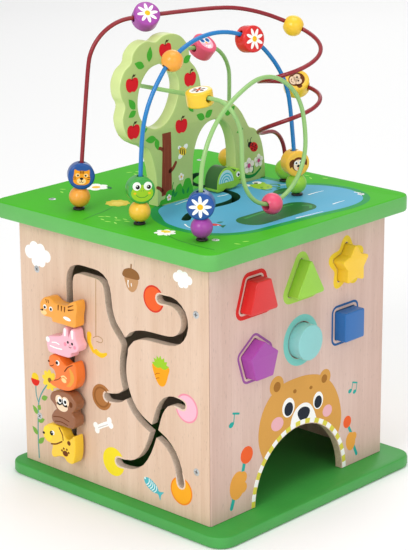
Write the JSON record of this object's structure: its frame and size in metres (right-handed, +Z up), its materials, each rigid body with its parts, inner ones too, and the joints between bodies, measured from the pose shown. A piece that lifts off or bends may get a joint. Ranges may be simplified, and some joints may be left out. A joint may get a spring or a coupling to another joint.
{
  "type": "baby activity cube",
  "caption": "Wooden five-sided play cube with a bead maze, tree and sliding turtle on top, a groove maze, a shape sorter, turning gears and a play clock.",
  "frame": {"origin": "on the underside of the base plate, on the vertical centre line of the cube", "axes": "+Z up; -Y out of the groove-maze face, +X out of the shape-sorter face, +Y out of the gear face, -X out of the clock face"},
  "size_m": [0.331, 0.321, 0.5229],
  "materials": {
    "natural_wood": "satin lacquer",
    "lawn_green": "satin paint",
    "tree_green": "satin paint",
    "wire_red": "gloss",
    "wire_blue": "gloss",
    "wire_green": "gloss",
    "collar_black": "satin",
    "peg_black": "satin",
    "orange": "gloss paint",
    "amber": "gloss paint",
    "yellow": "gloss paint",
    "lime": "gloss paint",
    "blue": "gloss paint",
    "sky": "gloss paint",
    "purple": "gloss paint",
    "pink": "gloss paint",
    "red": "gloss paint",
    "frog_green": "gloss paint",
    "brown": "gloss paint",
    "carrot": "gloss paint",
    "blush": "gloss paint",
    "teal": "gloss paint",
    "hand_red": "gloss",
    "hand_blue": "gloss"
  },
  "bodies": {
    "cube": {"top_panel": "lawn_green", "base_panel": "lawn_green", "maze_panel": "natural_wood", "sorter_panel": "natural_wood", "gear_panel": "natural_wood", "clock_panel": "natural_wood", "corner_batten_front_left": "natural_wood", "corner_batten_front_right": "natural_wood", "corner_batten_back_right": "natural_wood", "corner_batten_back_left": "natural_wood", "tree": "tree_green", "wire_red": "wire_red", "wire_blue": "wire_blue", "wire_green": "wire_green", "collar_red_front": "collar_black", "collar_red_back": "collar_black", "collar_blue_front": "collar_black", "collar_blue_back": "collar_black", "collar_green_front": "collar_black", "collar_green_back": "collar_black"},
    "ball_orange_foot": {"ball_orange_foot": "orange"},
    "ball_amber_foot": {"ball_amber_foot": "amber"},
    "ball_purple_foot": {"ball_purple_foot": "purple"},
    "ball_lime_back": {"ball_lime_back": "lime"},
    "ball_lime_foot": {"ball_lime_foot": "lime"},
    "ball_yellow_back": {"ball_yellow_back": "amber"},
    "ball_orange_arch": {"ball_orange_arch": "orange"},
    "ball_pink_loop": {"ball_pink_loop": "pink"},
    "ball_yellow_coil": {"ball_yellow_coil": "yellow"},
    "drum_tiger": {"drum_tiger": "blue"},
    "drum_frog": {"drum_frog": "frog_green"},
    "drum_daisy_blue": {"drum_daisy_blue": "blue"},
    "drum_dog": {"drum_dog": "amber"},
    "drum_daisy_purple": {"drum_daisy_purple": "purple"},
    "drum_yellow_top": {"drum_yellow_top": "yellow"},
    "drum_owl_pink": {"drum_owl_pink": "pink"},
    "drum_daisy_red": {"drum_daisy_red": "red"},
    "drum_monkey": {"drum_monkey": "yellow"},
    "turtle": {"turtle": "lime", "turtle_peg": "peg_black"},
    "dog": {"dog": "yellow", "dog_peg": "peg_black"},
    "monkey": {"monkey": "brown", "monkey_peg": "peg_black"},
    "squirrel": {"squirrel": "carrot", "squirrel_peg": "peg_black"},
    "rabbit": {"rabbit": "blush", "rabbit_peg": "peg_black"},
    "tiger": {"tiger": "orange", "tiger_peg": "peg_black"},
    "block_trapezoid": {"block_trapezoid": "red"},
    "block_triangle": {"block_triangle": "lime"},
    "block_star": {"block_star": "yellow"},
    "block_pentagon": {"block_pentagon": "purple"},
    "block_circle": {"block_circle": "teal"},
    "block_square": {"block_square": "sky"},
    "gear_red": {"gear_red": "red"},
    "gear_yellow": {"gear_yellow": "yellow"},
    "hour_hand": {"hour_hand": "hand_red"},
    "minute_hand": {"minute_hand": "hand_blue"}
  },
  "joints": [
    {"name": "ball_orange_foot_slide", "type": "slide", "parent": "cube", "child": "ball_orange_foot", "axis": [0.0374, 0.0801, 0.9961], "range_m": [0, 0.045]},
    {"name": "drum_tiger_slide", "type": "slide", "parent": "ball_orange_foot", "child": "drum_tiger", "axis": [0.0374, 0.0801, 0.9961], "range_m": [0, 0.05]},
    {"name": "ball_amber_foot_slide", "type": "slide", "parent": "cube", "child": "ball_amber_foot", "axis": [0.0086, 0.0374, 0.9993], "range_m": [0, 0.015]},
    {"name": "drum_frog_slide", "type": "slide", "parent": "ball_amber_foot", "child": "drum_frog", "axis": [0.0086, 0.0374, 0.9993], "range_m": [0, 0.018]},
    {"name": "ball_purple_foot_slide", "type": "slide", "parent": "cube", "child": "ball_purple_foot", "axis": [0, -0.0374, 0.9993], "range_m": [0, 0.006]},
    {"name": "drum_daisy_blue_slide", "type": "slide", "parent": "ball_purple_foot", "child": "drum_daisy_blue", "axis": [0, -0.0374, 0.9993], "range_m": [0, 0.008]},
    {"name": "ball_lime_foot_slide", "type": "slide", "parent": "cube", "child": "ball_lime_foot", "axis": [-0.0201, -0.0872, 0.996], "range_m": [0, 0.015]},
    {"name": "drum_dog_slide", "type": "slide", "parent": "ball_lime_foot", "child": "drum_dog", "axis": [-0.0201, -0.0872, 0.996], "range_m": [0, 0.018]},
    {"name": "ball_yellow_back_slide", "type": "slide", "parent": "cube", "child": "ball_yellow_back", "axis": [0, 0.0333, 0.9994], "range_m": [0, 0.07]},
    {"name": "ball_lime_back_spin", "type": "hinge", "parent": "cube", "child": "ball_lime_back", "pos_m": [0.0222, 0.1097, 0.3237], "axis": [0, 0, 1], "continuous": true},
    {"name": "drum_daisy_purple_slide", "type": "slide", "parent": "cube", "child": "drum_daisy_purple", "axis": [0.4228, 0.905, 0.0474], "range_m": [-0.004, 0.05]},
    {"name": "drum_yellow_top_slide", "type": "slide", "parent": "cube", "child": "drum_yellow_top", "axis": [-0.9974, 0.0655, -0.0291], "range_m": [-0.005, 0.035]},
    {"name": "drum_owl_pink_slide", "type": "slide", "parent": "cube", "child": "drum_owl_pink", "axis": [0, 0.9989, -0.0469], "range_m": [-0.07, 0]},
    {"name": "ball_orange_arch_travel", "type": "hinge", "parent": "cube", "child": "ball_orange_arch", "pos_m": [0.04839, -0.02703, 0.41496], "axis": [-0.9744, 0.2247, 0], "range_deg": [-16, 28]},
    {"name": "drum_daisy_red_travel", "type": "hinge", "parent": "cube", "child": "drum_daisy_red", "pos_m": [0.04839, -0.02703, 0.41496], "axis": [-0.9744, 0.2247, 0], "range_deg": [-14, 14]},
    {"name": "ball_pink_loop_travel", "type": "hinge", "parent": "cube", "child": "ball_pink_loop", "pos_m": [0.115, -0.01954, 0.37112], "axis": [-1, 0, 0], "range_deg": [-22, 50]},
    {"name": "ball_yellow_coil_travel", "type": "hinge", "parent": "cube", "child": "ball_yellow_coil", "pos_m": [0.06731, 0.06259, 0.4886], "axis": [-0.3235, -0.2182, -0.9207], "range_deg": [-6, 6]},
    {"name": "drum_monkey_travel", "type": "hinge", "parent": "cube", "child": "drum_monkey", "pos_m": [0.06437, 0.06678, 0.42475], "axis": [-0.1377, -0.0702, -0.988], "range_deg": [-6, 6]},
    {"name": "turtle_slide", "type": "slide", "parent": "cube", "child": "turtle", "axis": [1, 0, 0], "range_m": [-0.036, 0.012]},
    {"name": "dog_slide", "type": "slide", "parent": "cube", "child": "dog", "axis": [0, 0, 1], "range_m": [0, 0.005]},
    {"name": "monkey_slide", "type": "slide", "parent": "dog", "child": "monkey", "axis": [0, 0, 1], "range_m": [0, 0.005]},
    {"name": "squirrel_slide", "type": "slide", "parent": "monkey", "child": "squirrel", "axis": [0, 0, 1], "range_m": [0, 0.006]},
    {"name": "rabbit_slide", "type": "slide", "parent": "squirrel", "child": "rabbit", "axis": [0, 0, 1], "range_m": [0, 0.006]},
    {"name": "tiger_slide", "type": "slide", "parent": "rabbit", "child": "tiger", "axis": [0, 0, 1], "range_m": [0, 0.008]},
    {"name": "block_trapezoid_slide", "type": "slide", "parent": "cube", "child": "block_trapezoid", "axis": [1, 0, 0], "range_m": [-0.018, 0.008]},
    {"name": "block_triangle_slide", "type": "slide", "parent": "cube", "child": "block_triangle", "axis": [1, 0, 0], "range_m": [-0.018, 0.008]},
    {"name": "block_star_slide", "type": "slide", "parent": "cube", "child": "block_star", "axis": [1, 0, 0], "range_m": [-0.018, 0.008]},
    {"name": "block_pentagon_slide", "type": "slide", "parent": "cube", "child": "block_pentagon", "axis": [1, 0, 0], "range_m": [-0.018, 0.008]},
    {"name": "block_circle_slide", "type": "slide", "parent": "cube", "child": "block_circle", "axis": [1, 0, 0], "range_m": [-0.018, 0.008]},
    {"name": "block_square_slide", "type": "slide", "parent": "cube", "child": "block_square", "axis": [1, 0, 0], "range_m": [-0.018, 0.008]},
    {"name": "gear_red_spin", "type": "hinge", "parent": "cube", "child": "gear_red", "pos_m": [0.0431, 0.1463, 0.16], "axis": [0, 1, 0], "continuous": true},
    {"name": "gear_yellow_spin", "type": "hinge", "parent": "cube", "child": "gear_yellow", "pos_m": [-0.0431, 0.1463, 0.16], "axis": [0, 1, 0], "continuous": true},
    {"name": "hour_hand_spin", "type": "hinge", "parent": "cube", "child": "hour_hand", "pos_m": [-0.1426, 0, 0.165], "axis": [1, 0, 0], "continuous": true},
    {"name": "minute_hand_spin", "type": "hinge", "parent": "cube", "child": "minute_hand", "pos_m": [-0.1471, 0, 0.165], "axis": [1, 0, 0], "continuous": true}
  ],
  "couplings": [
    {"joint": "gear_yellow_spin", "follows": "gear_red_spin", "ratio": -1}
  ]
}
